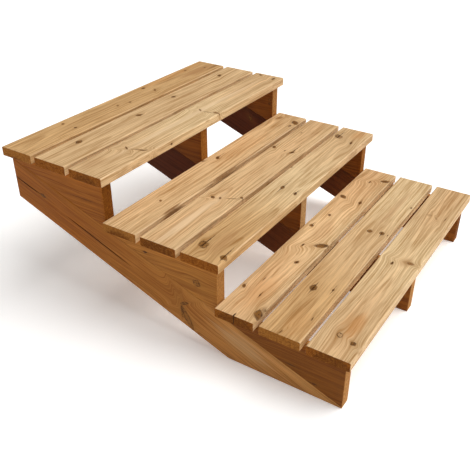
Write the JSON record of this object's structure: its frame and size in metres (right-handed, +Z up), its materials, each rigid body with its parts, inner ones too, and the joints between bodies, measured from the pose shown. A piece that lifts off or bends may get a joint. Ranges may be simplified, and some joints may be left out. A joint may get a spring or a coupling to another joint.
{
  "type": "spa steps",
  "caption": "Open-riser timber steps for a spa, with slatted treads carried by stepped blocks on sloping carriage planks.",
  "frame": {"origin": "centre of the footprint, at ground level", "axes": "+X to the right as one faces the steps, +Y to the rear and the way up, +Z up"},
  "size_m": [1, 1.148, 0.452],
  "materials": {
    "tread_wood": "planed pressure-treated pine, untreated surface",
    "carriage_wood": "planed pressure-treated pine, sloping grain",
    "block_wood": "planed pressure-treated pine, level grain",
    "dowel_wood": "smooth beech",
    "screw_steel": "plain stainless"
  },
  "bodies": {
    "root": {"bottom_tread_front_board": "tread_wood", "bottom_tread_middle_board": "tread_wood", "bottom_tread_rear_board": "tread_wood", "middle_tread_front_board": "tread_wood", "middle_tread_middle_board": "tread_wood", "middle_tread_rear_board": "tread_wood", "top_tread_front_board": "tread_wood", "top_tread_middle_board": "tread_wood", "top_tread_rear_board": "tread_wood", "left_carriage": "carriage_wood", "middle_carriage": "carriage_wood", "right_carriage": "carriage_wood", "left_bottom_block": "block_wood", "left_middle_block": "block_wood", "left_top_block": "block_wood", "middle_bottom_block": "block_wood", "middle_middle_block": "block_wood", "middle_top_block": "block_wood", "right_bottom_block": "block_wood", "right_middle_block": "block_wood", "right_top_block": "block_wood", "left_dowels": "dowel_wood", "middle_dowels": "dowel_wood", "right_dowels": "dowel_wood", "left_screws": "screw_steel", "middle_screws": "screw_steel", "right_screws": "screw_steel"}
  },
  "joints": []
}
